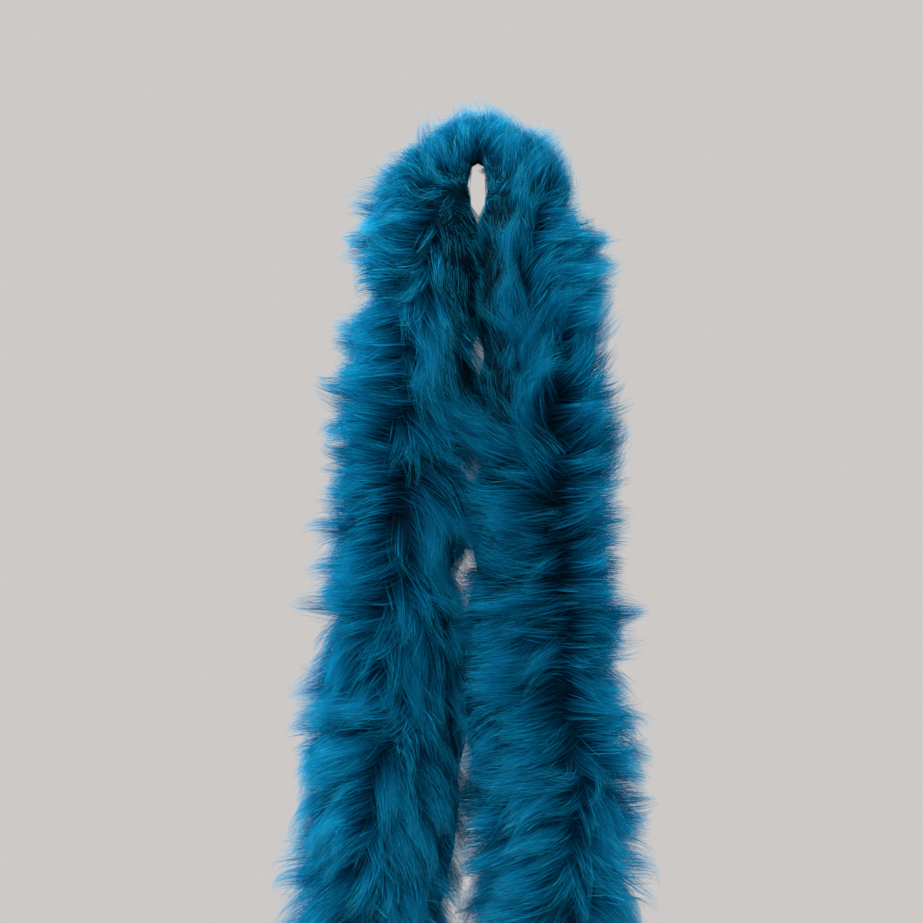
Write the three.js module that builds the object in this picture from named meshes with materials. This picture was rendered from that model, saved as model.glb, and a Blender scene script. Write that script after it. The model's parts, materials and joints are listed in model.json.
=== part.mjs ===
// Feather boa, hung doubled over a hook. Millimetres, +Z up, +Y away from the viewer.
//
// A boa is a core cord with plumes bound round it, bunch after bunch. Here it hangs over a hook:
// the cord goes up one side, round an arch and down the other, and each side ends in a whipping, a
// knot and a short frayed end. The origin is the point of the arch that rests on the hook.
// Each tail is cut into four lengths that hinge on each other, so the boa can swing and bend.
import * as THREE from 'three';

// Driving dimensions
const TOTAL_LENGTH = 1830; // along the cord, from one frayed end to the other
const CORD_RADIUS = 2;
const ARCH_RADIUS = 31.5; // of the cord's path over the hook
const SEAT_DEPTH = 11.5; // from the cord down to the hook, through the pressed plumes
const LEG_LENGTH = 21; // straight stretch below each side of the arch
const PLUMES_PER_TAIL = 18; // bunches on each tail
const BUNCHES_PER_LENGTH = [4, 5, 4, 5]; // bunches on each hinged length, from the top down

// Half spacing of the two tails, where they leave the arch and where they hang free
const TOP_SPACING = ARCH_RADIUS;
const FREE_SPACING = { left: 55, right: 40 };
const SPREAD_DEPTH = 400; // the depth over which the tails spread and the pile opens out
const TOP_PILE = 30; // radius of the pile at the top of a tail
const FREE_PILE = 41; // and where it hangs free

// The crown's bunches: reach of the pile from the cord towards the hook, away from it, and fore and aft
const TOP_BUNCH = { inward: SEAT_DEPTH, outward: 17, side: 25 };
const SHOULDER_BUNCH = { inward: 24, outward: 24, side: 29 };
const TOP_BUNCH_ANGLE = THREE.MathUtils.degToRad(80); // the arc that the top bunch covers
const SHOULDER_GAP = 0.8; // between neighbouring bunches on the arch

// Clearances
const CORD_HOLE = 2.6; // radius of the passage through a bunch
const BUNCH_GAP = 2.4; // between neighbouring bunches on a tail
const CORD_GAP = 1.6; // between the cord's lengths at a hinge
const END_GAP = 0.4; // between the pieces at a tail's end
const PLAIN_LEAN = THREE.MathUtils.degToRad(9); // lean of a bunch's end face away from a hinge
const HINGE_LEAN = THREE.MathUtils.degToRad(20); // lean on both sides of a hinge: together over 35 degrees
const CROWN_LEAN = THREE.MathUtils.degToRad(37); // lean below the crown, whose own face is level

// The outline of a bunch: where its end face turns over, as a share of its radius, and how much of
// its height at the outside is straight
const TURN_OVER = 0.82;
const WAIST = 0.62;

// The pieces at a tail's end
const WHIPPING = { radius: 3.9, length: 10 };
const KNOT = { radius: 4.8, length: 9 };
const FRAYED_END = { radius: 3.1, length: 16 };

// Facets
const CORD_SIDES = 8;
const BUNCH_SIDES = 14;
const SECTION_SIDES = 16;
const CORD_STEP = 12; // length of one step along the cord
const CROWN_STEP = 7;

const finishes = {
  plumes: new THREE.MeshStandardMaterial({ color: 0x0a6f97, roughness: 0.85, metalness: 0 }),
  cord: new THREE.MeshStandardMaterial({ color: 0x06455f, roughness: 0.8, metalness: 0 }),
  thread: new THREE.MeshStandardMaterial({ color: 0x04384f, roughness: 0.7, metalness: 0 }),
};

const archCentre = SEAT_DEPTH - ARCH_RADIUS;
const legFoot = archCentre - LEG_LENGTH;
const archLength = Math.PI * ARCH_RADIUS;
const crownLength = archLength + 2 * LEG_LENGTH;
const endLength = WHIPPING.length + KNOT.length + FRAYED_END.length + 3 * END_GAP;
const plumedDepth = (TOTAL_LENGTH - crownLength) / 2 - endLength;
const pitch = plumedDepth / PLUMES_PER_TAIL;

// The number of bunches above each hinge inside a tail
const hingesAfter = BUNCHES_PER_LENGTH.slice(0, -1).map((_, index) =>
  BUNCHES_PER_LENGTH.slice(0, index + 1).reduce((sum, bunches) => sum + bunches),
);

const boa = new THREE.Group();

function addPiece(parent, name, geometry, material) {
  const piece = new THREE.Mesh(geometry, material);
  piece.name = name;
  parent.add(piece);
  return piece;
}

// A stretch of the cord's path round the crown, from the foot of the right leg to that of the left
class CrownStretch extends THREE.Curve {
  constructor(from, to) {
    super();
    this.from = from;
    this.to = to;
  }

  getPoint(t, target = new THREE.Vector3()) {
    const along = this.from + t * (this.to - this.from);
    if (along < LEG_LENGTH) {
      return target.set(ARCH_RADIUS, 0, legFoot + along);
    }
    if (along > LEG_LENGTH + archLength) {
      return target.set(-ARCH_RADIUS, 0, legFoot + crownLength - along);
    }
    const angle = (along - LEG_LENGTH) / ARCH_RADIUS;
    return target.set(ARCH_RADIUS * Math.cos(angle), 0, archCentre + ARCH_RADIUS * Math.sin(angle));
  }
}

// A stretch of a tail's centre line, between two depths below the crown
class TailStretch extends THREE.Curve {
  constructor(side, from, to) {
    super();
    this.side = side;
    this.from = from;
    this.to = to;
  }

  getPoint(t, target = new THREE.Vector3()) {
    return target.copy(tailPoint(this.side, this.from + t * (this.to - this.from)));
  }
}

function tailSpread(depth) {
  return THREE.MathUtils.smoothstep(depth, 0, SPREAD_DEPTH);
}

function tailPoint(side, depth) {
  const spacing = THREE.MathUtils.lerp(TOP_SPACING, FREE_SPACING[side], tailSpread(depth));
  return new THREE.Vector3(side === 'left' ? -spacing : spacing, 0, legFoot - depth);
}

// Turns a piece made along Z so that it follows the tail between two depths
function placeOnTail(piece, side, from, to) {
  const top = tailPoint(side, from);
  const bottom = tailPoint(side, to);
  piece.position.addVectors(top, bottom).multiplyScalar(0.5);
  piece.rotation.y = Math.atan2(top.x - bottom.x, top.z - bottom.z);
}

// A ring of profile points turned about Z, each point given as [radius, height]
function turned(points, sides) {
  const profile = [...points, points[0]].map(([radius, height]) => new THREE.Vector2(radius, height));
  return new THREE.LatheGeometry(profile, sides).rotateX(Math.PI / 2);
}

function circle(Outline, radius, sides) {
  const points = new THREE.EllipseCurve(0, 0, radius, radius).getPoints(sides).slice(0, sides);
  return new Outline(points);
}

function cordAlong(route, length) {
  const section = circle(THREE.Shape, CORD_RADIUS, CORD_SIDES);
  const steps = Math.ceil(length / CORD_STEP);
  return new THREE.ExtrudeGeometry(section, { extrudePath: route, steps, bevelEnabled: false });
}

// The crown: one bunch over the hook and one on each shoulder, round an unbroken length of cord

function crownSection({ inward, outward, side }) {
  const corners = Array.from({ length: SECTION_SIDES }, (_, i) => {
    const angle = (2 * Math.PI * i) / SECTION_SIDES;
    const reach = Math.sin(angle) > 0 ? outward : inward;
    return new THREE.Vector2(side * Math.cos(angle), reach * Math.sin(angle));
  });
  const section = new THREE.Shape(corners);
  section.holes.push(circle(THREE.Path, CORD_HOLE, CORD_SIDES));
  return section;
}

function addCrown(parent) {
  const topLength = TOP_BUNCH_ANGLE * ARCH_RADIUS;
  const shoulderEnd = (crownLength - topLength) / 2;
  const bunches = {
    crown_right_plumes: { from: BUNCH_GAP / 2, to: shoulderEnd - SHOULDER_GAP / 2, size: SHOULDER_BUNCH },
    crown_top_plumes: {
      from: shoulderEnd + SHOULDER_GAP / 2,
      to: crownLength - shoulderEnd - SHOULDER_GAP / 2,
      size: TOP_BUNCH,
    },
    crown_left_plumes: {
      from: crownLength - shoulderEnd + SHOULDER_GAP / 2,
      to: crownLength - BUNCH_GAP / 2,
      size: SHOULDER_BUNCH,
    },
  };
  for (const [name, { from, to, size }] of Object.entries(bunches)) {
    const geometry = new THREE.ExtrudeGeometry(crownSection(size), {
      extrudePath: new CrownStretch(from, to),
      steps: Math.ceil((to - from) / CROWN_STEP),
      bevelEnabled: false,
    });
    addPiece(parent, name, geometry, finishes.plumes);
  }
  const route = new CrownStretch(CORD_GAP / 2, crownLength - CORD_GAP / 2);
  addPiece(parent, 'crown_core_cord', cordAlong(route, crownLength), finishes.cord);
}

// A bunch on a tail: a round tuft whose end faces lean away from its neighbours

function tuft(radius, length, upperLean, lowerLean) {
  const half = length / 2;
  const shoulder = TURN_OVER * radius;
  const faceHeight = (reach, lean) => half - (reach - CORD_HOLE) * Math.tan(lean);
  const waist = WAIST * Math.min(faceHeight(radius, upperLean), faceHeight(radius, lowerLean));
  const profile = [
    [CORD_HOLE, -half],
    [shoulder, -faceHeight(shoulder, lowerLean)],
    [radius, -waist],
    [radius, waist],
    [shoulder, faceHeight(shoulder, upperLean)],
    [CORD_HOLE, half],
  ];
  return turned(profile, BUNCH_SIDES);
}

function addTailBunches(parent, side) {
  for (let i = 1; i <= PLUMES_PER_TAIL; i += 1) {
    const from = (i - 1) * pitch;
    const to = i * pitch;
    const radius = THREE.MathUtils.lerp(TOP_PILE, FREE_PILE, tailSpread((from + to) / 2));
    const upperLean = hingesAfter.includes(i - 1) ? HINGE_LEAN : PLAIN_LEAN;
    const lowerLean = hingesAfter.includes(i) ? HINGE_LEAN : PLAIN_LEAN;
    const geometry = tuft(radius, pitch - BUNCH_GAP, i === 1 ? CROWN_LEAN : upperLean, lowerLean);
    const name = `${side}_plumes_${String(i).padStart(2, '0')}`;
    placeOnTail(addPiece(parent, name, geometry, finishes.plumes), side, from, to);
  }
}

function addTailCords(parent, side) {
  let from = 0;
  BUNCHES_PER_LENGTH.forEach((bunches, index) => {
    const to = from + bunches * pitch;
    const isLast = index === BUNCHES_PER_LENGTH.length - 1;
    const foot = isLast ? to + WHIPPING.length : to - CORD_GAP / 2;
    const route = new TailStretch(side, from + CORD_GAP / 2, foot);
    const name = `${side}_core_cord_${index + 1}`;
    addPiece(parent, name, cordAlong(route, foot - from), finishes.cord);
    from = to;
  });
}

// The end of a tail: thread whipped round the cord, the cord's knot, and its frayed end

function addTailEnd(parent, side) {
  const parts = [
    {
      name: 'end_whipping',
      size: WHIPPING,
      finish: finishes.thread,
      profile: [
        [CORD_HOLE, -0.5],
        [0.88 * WHIPPING.radius, -0.5],
        [WHIPPING.radius, -0.4],
        [WHIPPING.radius, 0.4],
        [0.88 * WHIPPING.radius, 0.5],
        [CORD_HOLE, 0.5],
      ],
    },
    {
      name: 'end_knot',
      size: KNOT,
      finish: finishes.cord,
      profile: [
        [0, -0.5],
        [0.62 * KNOT.radius, -0.45],
        [KNOT.radius, -0.18],
        [KNOT.radius, 0.18],
        [0.62 * KNOT.radius, 0.45],
        [0, 0.5],
      ],
    },
    {
      name: 'cord_end',
      size: FRAYED_END,
      finish: finishes.cord,
      profile: [
        [0, -0.5],
        [FRAYED_END.radius, -0.46],
        [CORD_RADIUS, 0.1],
        [CORD_RADIUS, 0.5],
        [0, 0.5],
      ],
    },
  ];
  let depth = plumedDepth;
  for (const { name, size, finish, profile } of parts) {
    depth += END_GAP;
    const points = profile.map(([radius, height]) => [radius, height * size.length]);
    const piece = addPiece(parent, `${side}_${name}`, turned(points, 2 * CORD_SIDES), finish);
    placeOnTail(piece, side, depth, depth + size.length);
    depth += size.length;
  }
}

addCrown(boa);
for (const side of ['left', 'right']) {
  const tail = new THREE.Group();
  addTailBunches(tail, side);
  addTailCords(tail, side);
  addTailEnd(tail, side);
  boa.add(tail);
}

export default boa;
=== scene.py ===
import json
import math

import bpy
import numpy as np
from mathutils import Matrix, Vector


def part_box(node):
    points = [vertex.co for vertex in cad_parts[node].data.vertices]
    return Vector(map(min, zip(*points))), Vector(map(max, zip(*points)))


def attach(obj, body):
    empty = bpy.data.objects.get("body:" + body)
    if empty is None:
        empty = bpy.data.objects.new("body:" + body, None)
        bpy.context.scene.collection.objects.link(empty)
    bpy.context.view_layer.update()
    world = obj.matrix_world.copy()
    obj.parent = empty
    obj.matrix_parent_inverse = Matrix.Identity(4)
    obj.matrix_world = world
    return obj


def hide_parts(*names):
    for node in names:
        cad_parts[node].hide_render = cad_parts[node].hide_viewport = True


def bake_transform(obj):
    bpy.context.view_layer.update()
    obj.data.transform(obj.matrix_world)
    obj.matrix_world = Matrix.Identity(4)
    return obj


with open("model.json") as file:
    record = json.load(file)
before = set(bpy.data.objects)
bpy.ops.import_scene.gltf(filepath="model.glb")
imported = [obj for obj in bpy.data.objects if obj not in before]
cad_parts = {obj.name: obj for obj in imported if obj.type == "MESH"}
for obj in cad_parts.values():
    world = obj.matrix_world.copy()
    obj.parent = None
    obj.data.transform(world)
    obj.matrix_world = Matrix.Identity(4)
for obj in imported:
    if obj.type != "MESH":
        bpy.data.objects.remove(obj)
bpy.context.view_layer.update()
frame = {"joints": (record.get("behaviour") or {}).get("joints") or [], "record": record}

MM = 0.001

# ---------------------------------------------------------------------------------------------
# Camera. It looks level at the upper half of the boa from in front, a little left of the hook,
# with a long lens, from a good step away.

VIEW_WIDTH = 461.5 * MM      # the width in view at the boa's own depth
CAMERA_DISTANCE = 1.35
AIM_LEFT = 8.2 * MM          # from the point that rests on the hook
AIM_BELOW = 148.3 * MM

seat = Vector(frame["record"]["mounts"][0]["pos_m"])
camera_data = bpy.data.cameras.new("camera")
camera = bpy.data.objects.new("camera", camera_data)
bpy.context.scene.collection.objects.link(camera)
camera.location = seat + Vector((-AIM_LEFT, -CAMERA_DISTANCE, -AIM_BELOW))
camera.rotation_euler = (math.radians(90), 0, 0)
camera_data.lens = camera_data.sensor_width * CAMERA_DISTANCE / VIEW_WIDTH
bpy.context.scene.camera = camera
bpy.context.scene.view_settings.view_transform = "Standard"

# ---------------------------------------------------------------------------------------------
# Core cord. A 4 mm cotton cord of three strands laid up with a right-hand twist and dyed in the
# same bath as the plumes. It runs whole from end to end, over the hook and down both tails.
# Each piece here spans one hinge, from the middle of one length to the middle of the next.

CORD_RADIUS = 2.0 * MM
CORD_LAY = 13.0 * MM         # length of one full twist
STRANDS = 3
STRAND_RADIUS = 0.98 * MM
STRAND_SIDES = 8
CORD_STEP = 1.6 * MM
SPREAD_DEPTH = 400 * MM      # the depth over which the two tails draw apart

low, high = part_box("crown_core_cord")
ARCH = high.x - CORD_RADIUS
ARCH_CENTRE = high.z - CORD_RADIUS - ARCH
QUARTER = ARCH * math.pi / 2
HINGES = {j["name"]: Vector(j["pos_m"]) for j in frame["joints"]}
LEG_FOOT = HINGES["left_upper_swing"].z
LEG_END = QUARTER + ARCH_CENTRE - LEG_FOOT    # distance along the cord, from over the hook
SIDES = {"left": -1, "right": 1}
FREE = {side: abs(HINGES[f"{side}_lower_swing"].x) for side in SIDES}
PLUMED_END = LEG_END + LEG_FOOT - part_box("left_plumes_18")[0].z
HINGE_ALONG = [LEG_END + LEG_FOOT - HINGES[f"left_{name}"].z
               for name in ("upper_swing", "upper_bend", "lower_swing", "lower_bend")]


def route(side, along):
    """Points on the cord's line at distances from the hook along it, and at each the way down it
    and the way outwards."""
    sign = SIDES[side]
    along = np.asarray(along, float)
    turn = np.clip(along / ARCH, -math.pi / 2, math.pi / 2)
    depth = along - LEG_END
    u = np.clip(depth / SPREAD_DEPTH, 0, 1)
    gain = FREE[side] - ARCH
    x = ARCH * np.sin(turn) + gain * u * u * (3 - 2 * u)
    z = ARCH_CENTRE + ARCH * np.cos(turn) - np.maximum(along - QUARTER, 0)
    lean = gain * 6 * u * (1 - u) / SPREAD_DEPTH
    tx = np.cos(turn) + np.where(depth > 0, lean, 0)
    tz = -np.sin(turn)
    size = np.hypot(tx, tz)
    zero = np.zeros_like(x)
    points = np.stack([sign * x, zero, z], -1)
    down = np.stack([sign * tx / size, zero, tz / size], -1)
    outward = np.stack([sign * -tz / size, zero, tx / size], -1)
    return points, down, outward


def mesh_piece(name, points, faces, material, uv=None):
    """A mesh object from arrays: points, quads or triangles, and a UV pair for each point."""
    me = bpy.data.meshes.new(name)
    corners = faces.shape[1]
    me.vertices.add(len(points))
    me.vertices.foreach_set("co", points.astype(np.float32).ravel())
    me.loops.add(faces.size)
    me.loops.foreach_set("vertex_index", faces.astype(np.int32).ravel())
    me.polygons.add(len(faces))
    me.polygons.foreach_set("loop_start", np.arange(0, faces.size, corners, dtype=np.int32))
    me.polygons.foreach_set("use_smooth", np.ones(len(faces), bool))
    if uv is not None:
        layer = me.uv_layers.new(name="OFBake")
        layer.uv.foreach_set("vector", uv[faces.ravel()].astype(np.float32).ravel())
    me.update(calc_edges=True)
    me.materials.append(material)
    piece = bpy.data.objects.new(name, me)
    bpy.context.scene.collection.objects.link(piece)
    return piece


NOT_ZERO = 1e-12             # keeps a division from failing
NEVER_ALONG_A_TUBE = (0.05, 1.0, 0.02)


def tubes(lines, radius, sides):
    """Round tubes along lines, an array of tube, step and xyz, with one radius for each step.
    Returns points and quads."""
    count, steps, _ = lines.shape
    radius = np.broadcast_to(radius, (count, steps))
    ahead = np.gradient(lines, axis=1)
    ahead /= np.linalg.norm(ahead, axis=2, keepdims=True) + NOT_ZERO
    across = np.cross(ahead, NEVER_ALONG_A_TUBE)
    across /= np.linalg.norm(across, axis=2, keepdims=True) + NOT_ZERO
    third = np.cross(ahead, across)
    angle = np.linspace(0, 2 * math.pi, sides, endpoint=False)[:, None]
    ring = across[:, :, None] * np.cos(angle) + third[:, :, None] * np.sin(angle)
    points = lines[:, :, None] + ring * radius[:, :, None, None]
    index = np.arange(count * steps * sides).reshape(count, steps, sides)
    nxt = np.roll(index, -1, axis=2)
    quads = [np.stack([index[:, :-1], nxt[:, :-1], nxt[:, 1:], index[:, 1:]], -1).reshape(-1, 4)]
    first, last = index[:, 0], index[:, -1]
    for k in range(1, sides - 1, 2):
        far = min(k + 2, sides - 1)
        quads.append(np.stack([first[:, 0], first[:, far], first[:, k + 1], first[:, k]], -1))
        quads.append(np.stack([last[:, 0], last[:, k], last[:, k + 1], last[:, far]], -1))
    return points.reshape(-1, 3), np.concatenate(quads)


def linear(hexa):
    """The linear colour of an sRGB hex value."""
    parts = [int(hexa[i:i + 2], 16) / 255 for i in (1, 3, 5)]
    return (*[c / 12.92 if c < 0.04045 else ((c + 0.055) / 1.055) ** 2.4 for c in parts], 1)


def add_node(tree, kind, settings=(), links=()):
    """A shader node with its settings and inputs: settings are attributes or sockets by name."""
    node = tree.nodes.new("ShaderNode" + kind)
    for key, value in dict(settings).items():
        if isinstance(key, str) and hasattr(node, key):
            setattr(node, key, value)
        else:
            node.inputs[key].default_value = value
    for key, source in dict(links).items():
        tree.links.new(source, node.inputs[key])
    return node


def tones(tree, factor, stops):
    """A colour ramp over a factor, from its stops: a position and an sRGB hex colour each."""
    node = add_node(tree, "ValToRGB", {}, {"Fac": factor})
    elements = node.color_ramp.elements
    for position, _ in stops[1:-1]:
        elements.new(position)
    for element, (position, colour) in zip(elements, stops):
        element.position = position
        element.color = linear(colour)
    return node.outputs["Color"]


def new_material(name):
    """An empty node material and its node tree."""
    material = bpy.data.materials.new(name)
    material.use_nodes = True
    material.node_tree.nodes.clear()
    return material, material.node_tree


def dyed_cotton():
    """Soft spun cotton, dyed teal: matt, with the yarn's fibres as fine dark and light lines."""
    material, tree = new_material("dyed_spun_cotton")
    where = add_node(tree, "TexCoord").outputs["Object"]
    fibres = add_node(tree, "TexNoise", {"Scale": 1400.0, "Detail": 3.0},
                      {"Vector": where}).outputs["Fac"]
    colour = tones(tree, fibres, ((0.3, "#04303f"), (0.7, "#0a5f80")))
    bump = add_node(tree, "Bump", {"Strength": 0.5, "Distance": 0.15 * MM}, {"Height": fibres})
    shader = add_node(tree, "BsdfPrincipled", {"Roughness": 0.85, "Specular IOR Level": 0.2},
                      {"Base Color": colour, "Normal": bump.outputs["Normal"]})
    add_node(tree, "OutputMaterial", {}, {"Surface": shader.outputs[0]})
    return material


cotton = dyed_cotton()


def laid_cord(side, start, end):
    """Three strands twisted round the cord's line between two distances from the hook: that line,
    then the strands' points and quads."""
    steps = max(8, int((end - start) / CORD_STEP))
    along = np.linspace(start, end, steps)
    points, down, outward = route(side, along)
    fore = np.cross(down, outward)
    strands = []
    for k in range(STRANDS):
        turn = (2 * math.pi * along / CORD_LAY + k * 2 * math.pi / STRANDS)[:, None]
        offset = outward * np.cos(turn) + fore * np.sin(turn)
        strands.append(points + offset * (CORD_RADIUS - STRAND_RADIUS))
    return points, *tubes(np.array(strands), STRAND_RADIUS, STRAND_SIDES)


WHIPPING_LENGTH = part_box("left_end_whipping")[1].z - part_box("left_end_whipping")[0].z


def chain(side):
    """The stretches of the cord, one over each hinge: their number, start, end and hinge along the
    cord, and the bodies above and below the hinge."""
    bodies = ["crown"] + [f"{side}_{k}" for k in range(1, 5)]
    middles = [(a + b) / 2 for a, b in zip(HINGE_ALONG, HINGE_ALONG[1:])]
    cuts = [0.0, *middles, PLUMED_END + WHIPPING_LENGTH]
    return [(k + 1, cuts[k], cuts[k + 1], HINGE_ALONG[k], bodies[k], bodies[k + 1])
            for k in range(len(HINGE_ALONG))]


def bend_over(piece):
    """Bakes the piece's placing into its points. Nothing bends it over the hinge."""
    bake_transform(piece)


cords = {}
for side in SIDES:
    for number, start, end, hinge, upper, lower in chain(side):
        line, points, quads = laid_cord(side, start, end)
        piece = mesh_piece(f"{side}_core_cord_over_hinge_{number}", points, quads, cotton)
        above = "crown_core_cord" if number == 1 else f"{side}_core_cord_{number - 1}"
        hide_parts(above, f"{side}_core_cord_{number}")
        bend_over(piece)
        cords[side, number] = (piece, line, end - start)

# ---------------------------------------------------------------------------------------------
# Binding thread. Waxed polyester thread, wound round the cord from end to end over the quills of
# the plumes. It is what holds the plumes on.

THREAD_RADIUS = 0.3 * MM
THREAD_PITCH = 3.2 * MM
STEPS_PER_TURN = 10
THREAD_SIDES = 5


def waxed_thread():
    """Waxed polyester thread, dark teal: a soft wax shine, with fine lines from its own twist."""
    material, tree = new_material("waxed_polyester_thread")
    where = add_node(tree, "TexCoord").outputs["Object"]
    twist = add_node(tree, "TexNoise", {"Scale": 2600.0, "Detail": 2.0},
                     {"Vector": where}).outputs["Fac"]
    colour = tones(tree, twist, ((0.35, "#05222e"), (0.65, "#0b4a60")))
    bump = add_node(tree, "Bump", {"Strength": 0.4, "Distance": 0.08 * MM}, {"Height": twist})
    shader = add_node(tree, "BsdfPrincipled", {"Roughness": 0.45, "Specular IOR Level": 0.4},
                      {"Base Color": colour, "Normal": bump.outputs["Normal"]})
    add_node(tree, "OutputMaterial", {}, {"Surface": shader.outputs[0]})
    return material


thread = waxed_thread()


def wound(side, start, end, radius, pitch):
    """A line wound round the cord between two distances from the hook."""
    steps = int((end - start) / pitch * STEPS_PER_TURN)
    along = np.linspace(start, end, steps)
    points, down, outward = route(side, along)
    fore = np.cross(down, outward)
    turn = (2 * math.pi * along / pitch)[:, None]
    return points + (outward * np.cos(turn) + fore * np.sin(turn)) * radius


for side in SIDES:
    for number, start, end, hinge, upper, lower in chain(side):
        stop = min(end, PLUMED_END)
        line = wound(side, start, stop, CORD_RADIUS + THREAD_RADIUS, THREAD_PITCH)
        points, quads = tubes(line[None], THREAD_RADIUS, THREAD_SIDES)
        piece = mesh_piece(f"{side}_binding_thread_{number}", points, quads, thread)
        bend_over(piece)

# ---------------------------------------------------------------------------------------------
# Ends. Each tail is whipped with the same kind of thread, wound close, over its last quills. Below
# it the cord is tied in an overhand knot, and its three strands fray out into loose yarn.

QUILLS = 15
QUILL_STEPS = 5
QUILL_SIDES = 6
QUILL_RADIUS = 0.45 * MM
QUILL_TAPER = 0.3
QUILL_RISE = 1.5 * MM        # how far above the whipping the quills start
QUILL_LONGER = 2.5 * MM      # how much longer than the whipping they are,
QUILL_RAGGED = 1.2 * MM      # and up to how much more
WHIPPING_THREAD = 0.26 * MM
WHIPPING_SIDES = 6


def quill_horn():
    """Cut quills of marabou: smooth pale-teal horn, streaked along its length."""
    material, tree = new_material("dyed_quill_horn")
    where = add_node(tree, "TexCoord").outputs["Object"]
    stretched = add_node(tree, "Mapping", {"Scale": (900.0, 900.0, 60.0)},
                         {"Vector": where}).outputs[0]
    streak = add_node(tree, "TexNoise", {"Scale": 1.0, "Detail": 2.0},
                      {"Vector": stretched}).outputs["Fac"]
    colour = tones(tree, streak, ((0.3, "#0d4b61"), (0.7, "#3f93ad")))
    shader = add_node(tree, "BsdfPrincipled", {"Roughness": 0.35}, {"Base Color": colour})
    add_node(tree, "OutputMaterial", {}, {"Surface": shader.outputs[0]})
    return material


def quill_lines(low, high, ring, rng):
    """The cut quills in a ring round the cord, from above the whipping to unevenly below it."""
    centre = (low + high) / 2
    angle = np.arange(QUILLS) / QUILLS * 2 * math.pi
    t = np.linspace(0, 1, QUILL_STEPS)
    ragged = rng.uniform(0, QUILL_RAGGED, (QUILLS, 1))
    z = high.z + QUILL_RISE - t * (high.z - low.z + QUILL_LONGER + ragged)
    x = centre.x + ring * np.cos(angle)[:, None] + 0 * z
    y = centre.y + ring * np.sin(angle)[:, None] + 0 * z
    return np.stack([x, y, z], -1)


KNOT_STEPS = 140
KNOT_TURN = 2.05 * MM        # radius of the knot's path
KNOT_LOOP = 0.95 * MM        # and of the loops on it
KNOT_LAY = 0.8 * MM          # how far its strands lie from the cord's own line
KNOT_STRAND = 0.75 * MM
KNOT_STRAND_SIDES = 8
KNOT_ROOM = 1.5 * MM         # what its strands need above and below its path


def overhand(low, high):
    """The three strands of the cord, tied in an overhand knot."""
    tall = (high.z - low.z) / 2 - KNOT_ROOM
    t = np.linspace(0, 2 * math.pi, KNOT_STEPS)
    reach = KNOT_TURN + KNOT_LOOP * np.cos(3 * t)
    path = np.stack([reach * np.cos(2 * t), reach * np.sin(2 * t), tall * np.sin(3 * t)], -1)
    path = path + np.array((low + high) / 2)
    ahead = np.gradient(path, axis=0)
    ahead /= np.linalg.norm(ahead, axis=1, keepdims=True)
    across = np.cross(ahead, np.array([0.0, 0.0, 1.0]))
    across /= np.linalg.norm(across, axis=1, keepdims=True)
    third = np.cross(ahead, across)
    strands = []
    for k in range(STRANDS):
        turn = (4 * t + k * 2 * math.pi / STRANDS)[:, None]
        strands.append(path + (across * np.cos(turn) + third * np.sin(turn)) * KNOT_LAY)
    return np.array(strands)


YARNS = 54
YARN_STEPS = 9
YARN_SIDES = 5
YARN_RADIUS = 0.17 * MM
YARN_WAVER = 0.1             # as a share of the frayed end's half width
SHORTEST_YARN = 0.7          # against the longest


def frayed(low, high, rng):
    """Loose yarns that hang from the knot and spread a little, each with its own waver."""
    centre = (low + high) / 2
    widest = (high.x - low.x) / 2 - YARN_RADIUS
    angle = rng.uniform(0, 2 * math.pi, (YARNS, 1))
    share = np.sqrt(rng.uniform(0.02, 1, (YARNS, 1)))
    t = np.linspace(0, 1, YARN_STEPS)
    out = share * widest * (0.5 + 0.4 * t ** 1.5)
    waver = YARN_WAVER * widest * t * np.sin(7 * t + rng.uniform(0, 6.3, (YARNS, 1)))
    bottom = high.z - (high.z - low.z) * rng.uniform(SHORTEST_YARN, 1, (YARNS, 1))
    x = centre.x + out * np.cos(angle) + waver
    y = centre.y + out * np.sin(angle) + waver[::-1]
    z = high.z + (bottom - high.z) * t
    return np.stack([x, y, z], -1)


ENDS_SEED = 11
horn = quill_horn()
rng = np.random.default_rng(ENDS_SEED)
for side in SIDES:
    body = f"{side}_4"
    low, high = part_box(f"{side}_end_whipping")
    winding = (high.x - low.x) / 2 - WHIPPING_THREAD
    top_along = LEG_END + LEG_FOOT - high.z
    line = wound(side, top_along, top_along + high.z - low.z, winding, 2 * WHIPPING_THREAD)
    points, quads = tubes(line[None], WHIPPING_THREAD, WHIPPING_SIDES)
    whipping = mesh_piece(f"{side}_whipping_turns", points, quads, thread)
    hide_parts(f"{side}_end_whipping")
    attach(whipping, body)

    lines = quill_lines(low, high, winding - WHIPPING_THREAD - QUILL_RADIUS, rng)
    taper = 1 - QUILL_TAPER * np.linspace(0, 1, QUILL_STEPS)
    points, quads = tubes(lines, QUILL_RADIUS * taper, QUILL_SIDES)
    quills = mesh_piece(f"{side}_quill_ends", points, quads, horn)
    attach(quills, body)

    low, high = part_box(f"{side}_end_knot")
    points, quads = tubes(overhand(low, high), KNOT_STRAND, KNOT_STRAND_SIDES)
    knot = mesh_piece(f"{side}_overhand_knot", points, quads, cotton)
    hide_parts(f"{side}_end_knot")
    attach(knot, body)

    low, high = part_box(f"{side}_cord_end")
    points, quads = tubes(frayed(low, high, rng), YARN_RADIUS, YARN_SIDES)
    yarns = mesh_piece(f"{side}_frayed_yarns", points, quads, cotton)
    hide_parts(f"{side}_cord_end")
    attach(yarns, body)

    stretches = len(HINGE_ALONG)
    for number in range(1, stretches + 1):
        piece, line, length = cords[side, number]

# ---------------------------------------------------------------------------------------------
# Plume bunches. Marabou down, dyed teal, bound round the cord with the quills inwards. The barbs
# are hair-fine, mostly 20 to 45 mm long, and cling together in soft overlapping locks with dark
# clefts between them. The lie of the locks turns from one stretch of the boa to the next.

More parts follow.
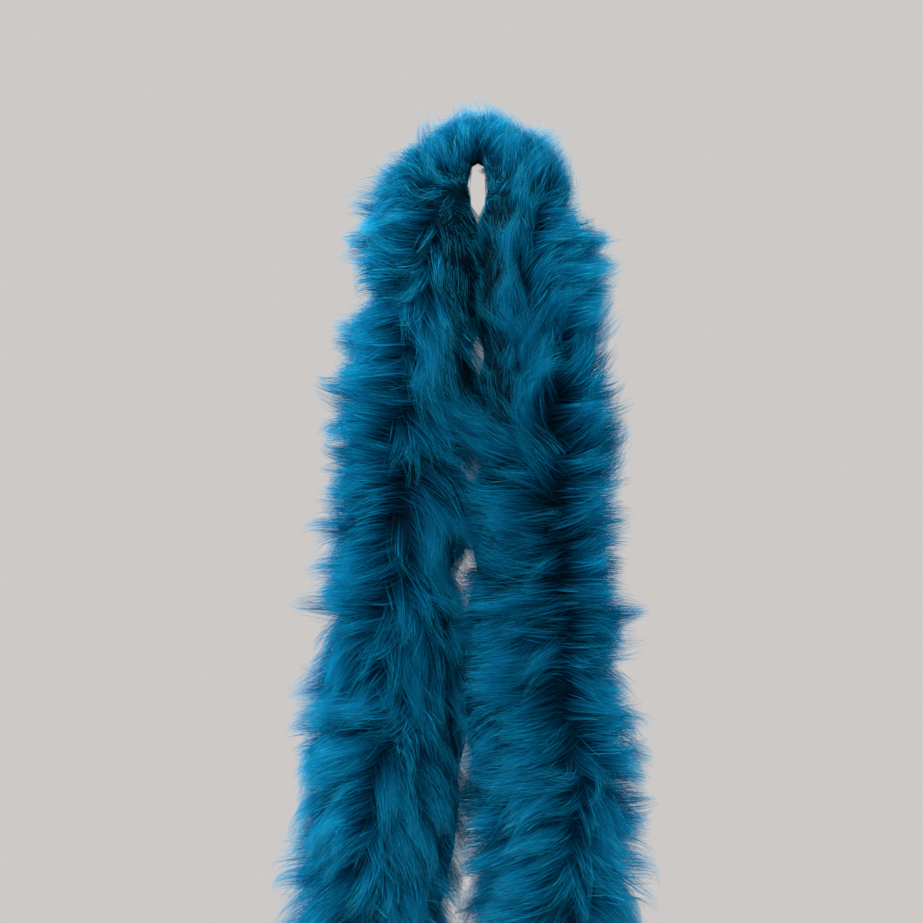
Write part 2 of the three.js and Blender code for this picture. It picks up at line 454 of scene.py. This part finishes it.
SEED = 20
LOCKS_PER_SQUARE_MM = 0.030
HAIRS_PER_LOCK = 32
BANDS_PER_LOCK = 3           # soft bands of shorter down, deeper in than the hairs of a lock
STRAYS_PER_LOCK = 2          # single hairs that stand off from their lock
HAIR_STEPS = 6
HAIR_WIDTH = 0.18 * MM       # a real barb is 0.03 mm: drawn this coarse so that it shows
STRAY_WIDTH = 0.55 * HAIR_WIDTH
BAND_WIDTH = 0.9 * MM
LOWER_SHARE = 0.5            # the lower bunches have this share of the hairs, each one wider
BUNCHES = 18                 # on each tail,
FULL_BUNCHES = 8             # and the upper ones of them with all their hairs
BUNCH_PITCH = (HINGE_ALONG[1] - HINGE_ALONG[0]) / 4
CROWN_SPLIT = 22 * MM        # where the bunch over the hook meets the shoulders

# The lie of the pile down each side. Each row: distance from the hook along the cord, the reach
# outwards and inwards, the parting's place outwards of the cord, all in millimetres, then the way
# the pile lies on the inner and the outer side of the parting, in degrees round from the right.
LIE = {
    "left": [
        (0, 10, 13, 0, 90, 92), (12, 6, 21, 0, 105, 115), (25, 6, 30, 0, 118, 138),
        (38, 11, 32, 0, 160, 158), (50, 16, 35, 0, 200, 174), (77, 26, 38, 0, 245, 190),
        (86, 24, 39, 0, 255, 190), (93, 12, 39, 0, 258, 186), (101, 12, 39, 0, 262, 180),
        (110, 27, 38, 0, 270, 172), (124, 33, 32, 2, 280, 176), (134, 35, 39, 2, 285, 176),
        (157, 35, 39, 3, 305, 175), (178, 29, 30, 3, 308, 178), (192, 33, 40, 3, 308, 180),
        (215, 34, 40, 3, 300, 190), (232, 31, 27, 3, 285, 198), (252, 31, 41, 3, 275, 205),
        (270, 33, 44, 2, 268, 225), (290, 31, 45, 0, 266, 215), (312, 41, 47, 0, 266, 208),
        (331, 39, 44, 0, 272, 212), (345, 39, 46, 0, 276, 216), (380, 40, 45, 0, 282, 230),
        (440, 41, 43, 0, 280, 245), (500, 41, 42, 0, 275, 245), (860, 41, 42, 0, 274, 255),
        (885, 35, 35, 0, 272, 262), (920, 16, 16, 0, 268, 272),
    ],
    "right": [
        (0, 10, 13, 0, 90, 88), (12, 6, 21, 0, 84, 72), (25, 7, 30, 0, 80, 55),
        (38, 12, 32, 0, 78, 45), (46, 9, 34, 0, 76, 42), (54, 9, 35, 0, 76, 38),
        (62, 26, 36, 0, 74, 28), (77, 33, 37, 0, 68, 22), (88, 31, 38, 0, 66, 26),
        (110, 26, 38, 4, 66, 50), (124, 30, 32, 6, 80, 48), (145, 34, 40, 10, 110, 45),
        (168, 37, 41, 9, 135, 35), (178, 36, 34, 8, 145, 28), (192, 33, 43, 8, 155, 20),
        (210, 26, 44, 8, 168, 12), (232, 28, 39, 8, 177, 2), (248, 30, 46, 9, 182, -2),
        (268, 36, 48, 11, 190, -8), (288, 27, 50, 14, 196, -10), (312, 39, 50, 18, 204, -18),
        (331, 40, 47, 19, 208, -30), (360, 41, 46, 18, 210, -45), (400, 42, 45, 14, 218, -60),
        (440, 42, 44, 8, 235, -65), (500, 41, 44, 4, 252, -70), (860, 41, 42, 0, 262, -80),
        (885, 35, 35, 0, 264, -84), (920, 16, 16, 0, 272, -92),
    ],
}
LIE = {side: np.array(rows, float).T for side, rows in LIE.items()}

# From the cord to the front of the pile in millimetres, at distances along the cord.
DEPTH = ((0, 25, 50, 71, 270, 471, 860, 885, 920), (19, 24, 28, 30, 35.5, 39, 39, 34, 16))


def lie_of(side, along):
    """The parting's place and the two ways of lying, at distances along the cord."""
    table = LIE[side]
    parting, inner, outer = (np.interp(abs(along) / MM, table[0], row) for row in table[3:])
    return parting * MM, np.radians(inner), np.radians(outer)


def pile_radius(side, along, angle):
    """The pile's outer radius at distances along the cord and angles round it from outwards."""
    table = LIE[side]
    outward, inward = (np.interp(abs(along) / MM, table[0], row) * MM for row in table[1:3])
    fore = np.interp(abs(along) / MM, *DEPTH) * MM
    across = np.where(np.cos(angle) > 0, outward, inward)
    return 1 / np.sqrt((np.cos(angle) / across) ** 2 + (np.sin(angle) / fore) ** 2)


WAVES = 8
MEAN_GIRTH = 240 * MM        # a whole number of waves goes round it


def swell(side, along, angle, size, seed):
    """Slow random waves over the pile, mostly between -1.5 and 1.5, of about the given size."""
    pick = np.random.default_rng(seed)
    total = 0
    for _ in range(WAVES):
        heading, phase = pick.uniform(0, 2 * math.pi, 2)
        wavelength = size * pick.uniform(0.8, 1.7)
        around = round(MEAN_GIRTH * math.sin(heading) / wavelength)
        down = 2 * math.pi * math.cos(heading) / wavelength
        total = total + np.sin(down * along * SIDES[side] + around * angle + phase)
    return total / 2


def place(side, along, angle, radius):
    """Points round the cord, the way out from it at each, and the cord's own ways there, down it
    and outwards."""
    points, down, outward = route(side, along)
    fore = np.array([0.0, -1.0, 0.0])
    out = outward * np.cos(angle)[..., None] + fore * np.sin(angle)[..., None]
    return points + out * radius[..., None], out, down, outward


LOCKS_PER_TUFT = 9
GATHERING = 0.8              # how far the locks of a tuft draw together at its tip,
GATHER_ALL = 11 * MM         # when their tips are this near to each other,
GATHER_NONE = 22 * MM        # or this far apart, and then not at all


def gathered(paths, side, spot, tufts, length, girth):
    """The locks drawn together into tufts: each follows the nearest of the first locks."""
    gap = spot[:, None] - spot[None, :tufts]
    gap[..., 1] -= np.round(gap[..., 1])
    nearest = np.hypot(gap[..., 0] * length, gap[..., 1] * girth).argmin(1)
    apart = paths[:, nearest] - paths
    apart[1] -= 2 * math.pi * np.round(apart[1] / (2 * math.pi))
    reach = np.hypot(apart[0, :, -1], apart[1, :, -1] * paths[2, :, -1])
    near = np.clip((GATHER_NONE - reach) / (GATHER_NONE - GATHER_ALL), 0, 1)
    pull = GATHERING * near[:, None]
    return paths + apart * pull * np.linspace(0, 1, HAIR_STEPS)


ROOTS = (0.42, 0.6)          # where locks start, as a share of the pile's radius
LOCK_LENGTHS = (28, 42)      # in millimetres, and shorter towards the hook, by distance along:
SHORTER = ((0, 60, 120), (0.62, 0.8, 1.0))
LONGEST = 1.15               # the longest hair, against its lock's own length
RISE = 1.7                   # how early a lock rises to the pile's edge
FRINGE = 17 * MM             # how far the longest tufts stand out beyond the pile's edge
SHORTER_FRINGE = ((0, 70), (0.85, 1.0))
PARTING_WIDTH = ((260, 330), (10, 30))    # in millimetres, by distance along
CLOSING = 0.45               # how readily the two sides of a parting close over it
NEAREST = 6 * MM             # nearer than this to the cord, a hair turns no faster round it


def lock_paths(side, along, angle, rng):
    """The middle line of each lock: arrays of lock and step for along, angle and radius."""
    count = len(along)
    edge = pile_radius(side, along, angle)
    root = edge * rng.uniform(*ROOTS, count)
    length = rng.uniform(*LOCK_LENGTHS, count) * MM * np.interp(along / MM, *SHORTER)

    def waves(size, seed):
        return swell(side, along, angle, size * MM, seed)

    # Each trait changes slowly over the pile, and a little more from one lock to the next.
    lift = 0.95 + 0.05 * waves(26, seed=5) + rng.normal(0, 0.06, count)
    stray = math.radians(17) * waves(38, seed=6) + rng.normal(0, 0.18, count)
    curl = math.radians(18) * waves(50, seed=7) + rng.normal(0, 0.3, count)
    shift = 4 * MM * waves(40, seed=8) + rng.normal(0, 3.5 * MM, count)
    fringe = 0.38 + 0.42 * waves(14, seed=11) + rng.uniform(-0.25, 0.25, count)
    fringe = np.clip(fringe, 0, 1.2) * np.interp(abs(along) / MM, *SHORTER_FRINGE)

    paths = np.zeros((3, count, HAIR_STEPS))
    s, a = along.copy(), angle.copy()
    for k in range(HAIR_STEPS):
        t = LONGEST * k / (HAIR_STEPS - 1)
        parting, inner, outer = lie_of(side, s)
        edge = pile_radius(side, s, a)
        change = np.interp(s / MM, *PARTING_WIDTH) * MM
        side_of = np.clip((edge * np.cos(a) - parting - shift) / change + 0.5, 0, 1)
        side_of = side_of * side_of * (3 - 2 * side_of)
        turn = stray + curl * (t - 0.3)
        lie = np.zeros((count, 3))
        for way, share in ((inner, 1 - side_of), (outer, side_of)):
            lie[:, 0] += np.cos(way + turn) * share
            lie[:, 2] += np.sin(way + turn) * share
        lie /= np.maximum(np.linalg.norm(lie, axis=1, keepdims=True), CLOSING)
        _, out, down, outward = place(side, s, a, edge)
        round_way = -np.sin(a)[:, None] * outward + np.cos(a)[:, None] * np.array([0, -1.0, 0])
        outwards = (lie * out).sum(1)
        tip = edge * lift + FRINGE * np.clip(outwards, 0, 1) * fringe
        left = max(1 - t, 0)
        radius = root + (tip - root) * (1 - left ** RISE)
        paths[:, :, k] = s, a, radius
        if k < HAIR_STEPS - 1:
            step = length * LONGEST / (HAIR_STEPS - 1)
            slope = (tip - root) * RISE * left ** (RISE - 1) / length
            run = np.sqrt(np.clip(1 - slope ** 2, 0.02, 1)) * step
            s = s + run * (lie * down).sum(1)
            a = a + run * (lie * round_way).sum(1) / np.maximum(radius, NEAREST)
    return paths


SLIT_HALF_WIDTH = 3.6 * MM   # the slit under the arch that the hook's arm passes through
SLIT_IN_HAIRS = (3.5, 26.0)  # its top and bottom, in millimetres below the hook's seat
SLIT_IN_SLEEVE = (-1.0, 29.0)


def clear_of_hook(points, side, top, bottom):
    """The points moved to their own side of the slit."""
    depth = (seat.z - points[..., 2]) / MM
    half = SLIT_HALF_WIDTH * np.clip(np.minimum(depth - top, (bottom - depth) / 4), 0, 1)
    sign = SIDES[side]
    apart = sign * points[..., 0]
    points[..., 0] = sign * np.where(half > 0, np.maximum(apart, half), apart)
    return points


def ribbons(lines, out, width, u_start, u_width, v_ends, roll):
    """Flat tapered hairs along lines: points, quads and UVs. Each faces out, rolled a little."""
    count, steps, _ = lines.shape
    ahead = np.gradient(lines, axis=1)
    ahead /= np.linalg.norm(ahead, axis=2, keepdims=True) + NOT_ZERO
    flat = np.cross(ahead, out)
    flat /= np.linalg.norm(flat, axis=2, keepdims=True) + NOT_ZERO
    up = np.cross(flat, ahead)
    across = flat * np.cos(roll)[:, None, None] + up * np.sin(roll)[:, None, None]
    t = np.linspace(0, 1, steps)
    taper = np.minimum(1, 0.6 + 1.5 * t) * np.clip(1.05 - t, 0, 1) ** 0.6
    half = (width[:, None] * taper / 2)[..., None]
    points = np.stack([lines - across * half, lines + across * half], 2)
    index = np.arange(count * steps * 2).reshape(count, steps, 2)
    quads = np.stack([index[:, :-1, 0], index[:, :-1, 1], index[:, 1:, 1], index[:, 1:, 0]], -1)
    u = np.stack([u_start, u_start + u_width], -1)[:, None]
    u = np.broadcast_to(u, (count, steps, 2))
    v = v_ends[0][:, None] * (1 - t) + v_ends[1][:, None] * t
    v = np.broadcast_to(v[..., None], (count, steps, 2))
    return points.reshape(-1, 3), quads.reshape(-1, 4), np.stack([u, v], -1).reshape(-1, 2)


# How far up the ramp a hair starts and ends, at distances along the cord. Its roots are painted
# dark as shade deep in the pile, darkest from 45 to 260 mm along and lighter on the crown and low
# down. Its tip is light, partly the dye and partly painted light, lightest over the crown, where
# the window light falls most.
ROOT_PAINTED_SHADE = ((0, 0.30), (25, 0.18), (45, 0.02), (260, 0.02), (330, 0.16))
TIP_DYE_AND_PAINTED_LIGHT = ((60, 0.99), (130, 0.90), (260, 0.88), (340, 0.95))

CLOSENESS = (0.35, 0.82)     # how far a lock's hairs draw together at its tip
WAVE = 2.6                   # radians that a stray hair waves through, over a lock's length
HAIR_NEAREST = 5 * MM        # as for the locks, nearer than this it turns no faster
FARTHEST = 53 * MM           # no hair ends further than this from the cord
ROLL = math.radians(42)
WIDTHS = (0.65, 1.35)        # a hair's width, against its kind's


def hairs_of(side, paths, per_lock, width, rng, spread, reach, depth, stray, u_width):
    """Hairs or bands that follow their lock's line and draw together towards its tip.
    Reach is how far along the lock they end, depth how deep they lie, stray how far they part."""
    locks = paths.shape[1]
    owner = np.repeat(np.arange(locks), per_lock)
    count = len(owner)
    s, a, r = paths[:, owner]
    part = rng.uniform(*reach, count)[:, None] * np.linspace(0, 1, HAIR_STEPS)
    step = part / LONGEST * (HAIR_STEPS - 1)
    low = np.clip(step.astype(int), 0, HAIR_STEPS - 2)
    step = step - low
    row = np.arange(count)[:, None]
    s, a, r = (x[row, low] * (1 - step) + x[row, low + 1] * step for x in (s, a, r))
    closeness = rng.uniform(*CLOSENESS, locks)[owner][:, None]
    together = 1 - closeness * np.clip(part, 0, 1)
    s = s + rng.normal(0, spread, count)[:, None] * together
    a = a + rng.normal(0, spread, count)[:, None] * together / np.maximum(r, HAIR_NEAREST)
    phase = rng.uniform(0, 2 * math.pi, (2, count, 1))
    wander = rng.normal(0, stray, (2, count, 1)) * part
    s = s + wander[0] * np.sin(WAVE * part + phase[0])
    a = a + wander[1] * np.sin(WAVE * part + phase[1]) / np.maximum(r, HAIR_NEAREST)
    off = np.abs(rng.normal(0, stray, count)) * 0.8 - depth + rng.normal(0, 1.0 * MM, count)
    r = r + off[:, None] * (0.3 + 0.7 * part)
    lines, out, _, _ = place(side, s, a, np.minimum(r, FARTHEST))
    lines = clear_of_hook(lines, side, *SLIT_IN_HAIRS)
    lock_tone = rng.uniform(0.02, 0.93, locks)
    u_start = np.clip(lock_tone[owner] + rng.normal(0, 0.07, count), 0.005, 0.985 - u_width)
    # Each hair's painted root shade and its tip's dye and painted light, by where it grows.
    v_ends = [np.interp(s[:, 0] / MM, *zip(*table)) for table in (ROOT_PAINTED_SHADE, TIP_DYE_AND_PAINTED_LIGHT)]
    roll = rng.normal(0, ROLL, count)
    widths = width * rng.uniform(*WIDTHS, count)
    return ribbons(lines, out, widths, u_start, u_width, v_ends, roll)


# The tails face each other with a denser inner side, until they have drawn well apart.
SLEEVE_FADE = {"left": ((300, 370, 440), (1, 0.95, 0)), "right": ((300, 340, 410), (1, 0.75, 0))}
# Painted shade: the sleeve's place on the down's colour ramp by distance along, near black from 60
# to 250 mm, lighter on the crown and low down.
SLEEVE_PAINTED_SHADE = ((0, 30, 60, 250, 340), (0.16, 0.12, 0.02, 0.02, 0.18))
SLEEVE_RINGS = 9
SLEEVE_SIDES = 28
SLEEVE_SHARE = 0.6           # of the pile's radius,
DENSER = 0.28                # with this more on the inner side
END_TAPER = 22 * MM          # the sleeve's last stretch, where it closes in on the cord
SLEEVE_GAP = 0.8 * MM        # between the cord and the sleeve's inside, for the binding thread
SPECKLE = 0.006              # how much the sleeve's tone changes from point to point
SPECKLE_SEED = 3


def underdown(side, start, end):
    """The dense down close to the cord: a lumpy sleeve that nothing is seen through, its colour
    dark with painted shade from deep in the pile.
    """
    along = np.linspace(start, end, SLEEVE_RINGS)[:, None] + np.zeros((1, SLEEVE_SIDES))
    angle = np.linspace(0, 2 * math.pi, SLEEVE_SIDES, endpoint=False)
    angle = np.broadcast_to(angle, along.shape)
    inner_side = np.clip((-np.cos(angle) - 0.35) / 0.4, 0, 1)
    inner_side *= np.interp(along / MM, *SLEEVE_FADE[side])
    lumps = 0.04 * swell(side, along, angle, 15 * MM, seed=9) * (1 - inner_side)
    share = SLEEVE_SHARE + DENSER * inner_side + lumps
    to_end = np.clip((PLUMED_END - along) / END_TAPER, 0, 1)
    radius = pile_radius(side, along, angle) * share * np.sqrt(0.06 + 0.94 * to_end * (2 - to_end))
    points, _, _, _ = place(side, along, angle, radius)
    inner, _, _, _ = place(side, along, angle, np.full(along.shape, CORD_RADIUS + SLEEVE_GAP))
    loop = np.concatenate([points, inner[::-1]])
    points = clear_of_hook(loop, side, *SLIT_IN_SLEEVE).reshape(-1, 3)
    rows = 2 * SLEEVE_RINGS
    index = np.arange(rows * SLEEVE_SIDES).reshape(rows, SLEEVE_SIDES)
    nxt, below = np.roll(index, -1, 1), np.roll(index, -1, 0)
    quads = np.stack([index, nxt, np.roll(nxt, -1, 0), below], -1).reshape(-1, 4)
    if SIDES[side] < 0:
        quads = quads[:, ::-1]
    # The sleeve's painted shade, by distance along.
    painted_sleeve_shade = np.interp(np.concatenate([along, along[::-1]]) / MM, *SLEEVE_PAINTED_SHADE)
    uv = np.stack([np.full(painted_sleeve_shade.shape, 0.5), painted_sleeve_shade], -1).reshape(-1, 2)
    uv += np.random.default_rng(SPECKLE_SEED).uniform(0, SPECKLE, uv.shape)
    return points, quads, uv


def marabou():
    """Dyed marabou down, matt, with light coming through. Dark at the roots with painted shade,
    clear bright teal at the thin tips, partly the dye and partly a painted glow. Every lock and
    hair takes its own shade of the dye."""
    material, tree = new_material("dyed_marabou_down")
    uv = add_node(tree, "UVMap", {"uv_map": "OFBake"}).outputs["UV"]
    split = add_node(tree, "SeparateXYZ", {}, {"Vector": uv})
    # The ramp along each hair: painted shade at its near-black root end, and at its bright tip end
    # the dye and a painted glow of light through the thin tips.
    shade = tones(tree, split.outputs["Y"],
                  ((0.0, "#01202e"), (0.25, "#02496c"), (0.55, "#0277a6"), (0.8, "#08abda"),
                   (1.0, "#45daf4")))
    along_u = add_node(tree, "CombineXYZ", {}, {"X": split.outputs["X"]})
    lock = add_node(tree, "TexNoise", {"noise_dimensions": "3D", "Scale": 14.0, "Detail": 0.0},
                    {"Vector": along_u.outputs[0]}).outputs["Fac"]
    hair = add_node(tree, "TexNoise", {"noise_dimensions": "3D", "Scale": 85.0, "Detail": 1.0},
                    {"Vector": along_u.outputs[0]}).outputs["Fac"]
    both = add_node(tree, "Math", {"operation": "ADD"}, {0: lock, 1: hair}).outputs[0]
    gain = add_node(tree, "MapRange",
                    {"From Min": 0.7, "From Max": 1.3, "To Min": 0.75, "To Max": 1.2},
                    {"Value": both}).outputs[0]
    colour = add_node(tree, "VectorMath", {"operation": "SCALE"},
                      {"Vector": shade, "Scale": gain}).outputs[0]
    body = add_node(tree, "BsdfPrincipled", {"Roughness": 0.75, "Specular IOR Level": 0.05},
                    {"Base Color": colour})
    through = add_node(tree, "BsdfTranslucent", {}, {"Color": colour})
    mixed = add_node(tree, "MixShader", {"Fac": 0.52}, {1: body.outputs[0], 2: through.outputs[0]})
    add_node(tree, "OutputMaterial", {}, {"Surface": mixed.outputs[0]})
    return material


down_material = marabou()


def bunch_piece(name, parts):
    """One bunch as one mesh, from its parts: points, quads and UVs of each."""
    points, quads, uvs, base = [], [], [], 0
    for p, q, uv in parts:
        points.append(p)
        quads.append(q + base)
        uvs.append(uv)
        base += len(p)
    return mesh_piece(name, np.concatenate(points), np.concatenate(quads), down_material,
                      np.concatenate(uvs))


EVEN_SPREAD = (0.7548777, 0.5698403)     # steps that spread any number of spots evenly
BARE_UNDER_ARCH = 10 * MM    # no locks grow inwards this near to the hook


def pile(side, start, end, rng, share=1.0):
    """Everything that grows from one stretch of the cord on one side of the hook."""
    middle = np.array([(start + end) / 2])
    girth = 2 * math.pi * float(pile_radius(side, middle, np.array([math.pi / 2]))[0])
    locks = int((end - start) * girth / MM ** 2 * LOCKS_PER_SQUARE_MM * share)
    spot = (np.arange(locks)[:, None] * EVEN_SPREAD + rng.uniform(0, 1, 2)) % 1
    along = start + (end - start) * spot[:, 0] + rng.normal(0, 2 * MM, locks)
    angle = 2 * math.pi * spot[:, 1]
    under_the_arch = (abs(along) < BARE_UNDER_ARCH) & (np.cos(angle) < -0.75)
    along, angle, spot = (values[~under_the_arch] for values in (along, angle, spot))
    paths = lock_paths(side, along, angle, rng)
    paths = gathered(paths, side, spot, locks // LOCKS_PER_TUFT, end - start, girth)
    wider = share ** -0.5
    bands = hairs_of(side, paths, BANDS_PER_LOCK, BAND_WIDTH * wider, rng, spread=3.2 * MM,
                     reach=(0.5, 0.8), depth=2.2 * MM, stray=0.8 * MM, u_width=0.012)
    hairs = hairs_of(side, paths, HAIRS_PER_LOCK, HAIR_WIDTH * wider, rng, spread=3.6 * MM,
                     reach=(0.6, 1.08), depth=0.0, stray=0.9 * MM, u_width=0.006)
    strays = hairs_of(side, paths, STRAYS_PER_LOCK, STRAY_WIDTH * wider, rng, spread=5 * MM,
                      reach=(0.8, LONGEST), depth=0.0, stray=2.4 * MM, u_width=0.006)
    return [underdown(side, start, end), bands, hairs, strays]


rng = np.random.default_rng(SEED)
crown_top = []
for side in SIDES:
    crown_top += pile(side, 0.0, CROWN_SPLIT, rng)
top = bunch_piece("crown_top_pile", crown_top)
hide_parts("crown_top_plumes")
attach(top, "crown")

ENDS = (0, 4, 9, 13, BUNCHES)    # the last bunch on each length of a tail
for side in SIDES:
    shoulder = bunch_piece(f"crown_{side}_pile", pile(side, CROWN_SPLIT, LEG_END, rng))
    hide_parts(f"crown_{side}_plumes")
    bend_over(shoulder)
    for number in range(1, BUNCHES + 1):
        start = LEG_END + (number - 1) * BUNCH_PITCH
        share = 1.0 if number <= FULL_BUNCHES else LOWER_SHARE
        bunch = bunch_piece(f"{side}_pile_{number:02d}",
                            pile(side, start, start + BUNCH_PITCH, rng, share))
        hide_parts(f"{side}_plumes_{number:02d}")
        length = next(k for k in range(1, len(ENDS)) if number <= ENDS[k])
        if number == ENDS[length] and number < BUNCHES:
            bend_over(bunch)
        elif number == ENDS[length - 1] + 1:
            above = "crown" if length == 1 else f"{side}_{length - 1}"
            bend_over(bunch)
        else:
            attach(bunch, f"{side}_{length}")

# ---------------------------------------------------------------------------------------------
# Floor and light. A plain pale floor far below the hook, an even pale room all round, one wide
# soft light high on the left, and two more behind that shine through the pile's edges.

HOOK_HEIGHT = 1.9
FLOOR_RADIUS = 8.0
ROOM = "#cdc9c7"

bpy.ops.mesh.primitive_circle_add(vertices=128, radius=FLOOR_RADIUS, fill_type="NGON",
                                  location=(0, 0, -HOOK_HEIGHT))
floor = bpy.context.object
floor.name = "floor"
paper, tree = new_material("matt_pale_paper")
shader = add_node(tree, "BsdfPrincipled", {"Base Color": linear("#ebe8e6"), "Roughness": 0.9})
add_node(tree, "OutputMaterial", {}, {"Surface": shader.outputs[0]})
floor.data.materials.append(paper)

world = bpy.data.worlds.new("pale_room")
bpy.context.scene.world = world
world.use_nodes = True
world.node_tree.nodes["Background"].inputs["Color"].default_value = linear(ROOM)
world.node_tree.nodes["Background"].inputs["Strength"].default_value = 1.0


def soft_light(name, offset, size, watts):
    """A square soft light, turned to the hook and itself out of view."""
    data = bpy.data.lights.new(name, "AREA")
    data.size, data.energy = size, watts
    lamp = bpy.data.objects.new(name, data)
    bpy.context.scene.collection.objects.link(lamp)
    lamp.visible_camera = False
    lamp.location = offset
    lamp.rotation_euler = (-Vector(offset)).to_track_quat("-Z", "Y").to_euler()


soft_light("window_upper_left", (-0.6, -0.45, 0.65), size=0.6, watts=16)
soft_light("glow_behind_left", (-1.2, 0.9, 0.7), size=1.0, watts=34)
soft_light("glow_behind_right", (1.2, 0.9, 0.6), size=1.0, watts=25)
